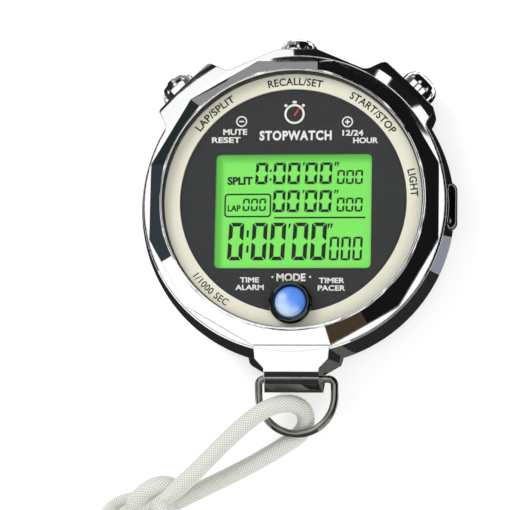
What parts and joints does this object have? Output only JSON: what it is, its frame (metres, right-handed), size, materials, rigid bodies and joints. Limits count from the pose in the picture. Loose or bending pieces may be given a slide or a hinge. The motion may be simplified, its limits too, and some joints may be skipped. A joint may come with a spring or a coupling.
{
  "type": "digital stopwatch",
  "caption": "Round chrome-bodied digital stopwatch with sprung edge and front push buttons, twelve-sided bezel, wire cord ring and knotted braided neck cord.",
  "frame": {"origin": "on the back cover's rest plane, under the centre of the dial; the stopwatch lies on its back", "axes": "+X towards 3 o'clock, +Y towards the 12 o'clock button, +Z out of the dial"},
  "size_m": [0.0936, 0.1611, 0.0182],
  "materials": {
    "chrome": "mirror-polished chrome plate over zinc and brass",
    "steel": "stainless steel",
    "wire": "nickel-plated steel wire",
    "rubber": "black rubber",
    "acrylic": "clear acrylic",
    "print_cream": "cream printed ring, satin",
    "dial": "charcoal printed film",
    "lcd": "liquid crystal panel lit green",
    "diffuser": "green light diffuser",
    "zebra": "conductive rubber strip",
    "black_plastic": "moulded black plastic",
    "pcb": "glass-fibre board with solder resist",
    "switch": "tact switch with steel cover",
    "resin": "black potting resin",
    "cell": "coin cell can",
    "brass": "brass sounder disc",
    "blue_plastic": "translucent blue push button",
    "print_dark": "dark screen print",
    "print_white": "white screen print",
    "print_red": "red screen print",
    "segments": "darkened display segments",
    "cord": "white round braided polyester cord"
  },
  "bodies": {
    "watch": {"middle_case": "chrome", "bezel": "chrome", "glass": "acrylic", "back_cover": "steel", "mode_collar": "chrome", "lcd_panel": "lcd", "lcd_backlight": "diffuser", "contact_strips": "zebra", "works_holder": "black_plastic", "circuit_board": "pcb", "board_screws": "steel", "tact_switches": "switch", "chip_resin": "resin", "quartz_can": "cell", "coin_cell": "cell", "cell_cup": "black_plastic", "cell_strap": "steel", "buzzer_disc": "brass", "buzzer_springs": "steel", "back_gasket": "rubber", "back_screws": "steel", "glass_gasket": "rubber", "printed_ring": "print_cream", "dial_plate": "dial", "lap_split_spring": "steel", "start_stop_spring": "steel", "recall_set_spring": "steel", "light_spring": "steel", "mode_spring": "steel", "lanyard_loop": "cord", "lanyard_knot": "cord", "lanyard_leads": "cord", "lanyard_coil": "cord", "lanyard_tie": "cord"},
    "lap_split": {"lap_split_button": "chrome", "lap_split_seal": "rubber", "lap_split_clip": "steel"},
    "start_stop": {"start_stop_button": "chrome", "start_stop_seal": "rubber", "start_stop_clip": "steel"},
    "recall_set": {"recall_set_button": "chrome", "recall_set_seal": "rubber", "recall_set_clip": "steel"},
    "light": {"light_button": "chrome", "light_seal": "rubber", "light_clip": "steel"},
    "mode": {"mode_button": "blue_plastic"},
    "ring": {"wire_ring": "wire"}
  },
  "joints": [
    {"name": "lap_split_press", "type": "slide", "parent": "watch", "child": "lap_split", "axis": [0.7071, -0.7071, 0], "range_m": [0, 0.001], "stiffness_N_per_m": 900, "springref_m": -0.0006, "deforming": ["lap_split_spring"]},
    {"name": "start_stop_press", "type": "slide", "parent": "watch", "child": "start_stop", "axis": [-0.7071, -0.7071, 0], "range_m": [0, 0.001], "stiffness_N_per_m": 900, "springref_m": -0.0006, "deforming": ["start_stop_spring"]},
    {"name": "recall_set_press", "type": "slide", "parent": "watch", "child": "recall_set", "axis": [0, -1, 0], "range_m": [0, 0.001], "stiffness_N_per_m": 900, "springref_m": -0.0006, "deforming": ["recall_set_spring"]},
    {"name": "light_press", "type": "slide", "parent": "watch", "child": "light", "axis": [-1, 0, 0], "range_m": [0, 0.0007], "stiffness_N_per_m": 800, "springref_m": -0.0006, "deforming": ["light_spring"]},
    {"name": "mode_press", "type": "slide", "parent": "watch", "child": "mode", "axis": [0, 0, -1], "range_m": [0, 0.0008], "stiffness_N_per_m": 700, "springref_m": -0.0006, "deforming": ["mode_spring"]},
    {"name": "ring_swing", "type": "hinge", "parent": "watch", "child": "ring", "pos_m": [0.0006, -0.0367, 0.0074], "axis": [-1, 0, 0], "range_deg": [-20, 95], "deforming": ["lanyard_loop"]}
  ]
}
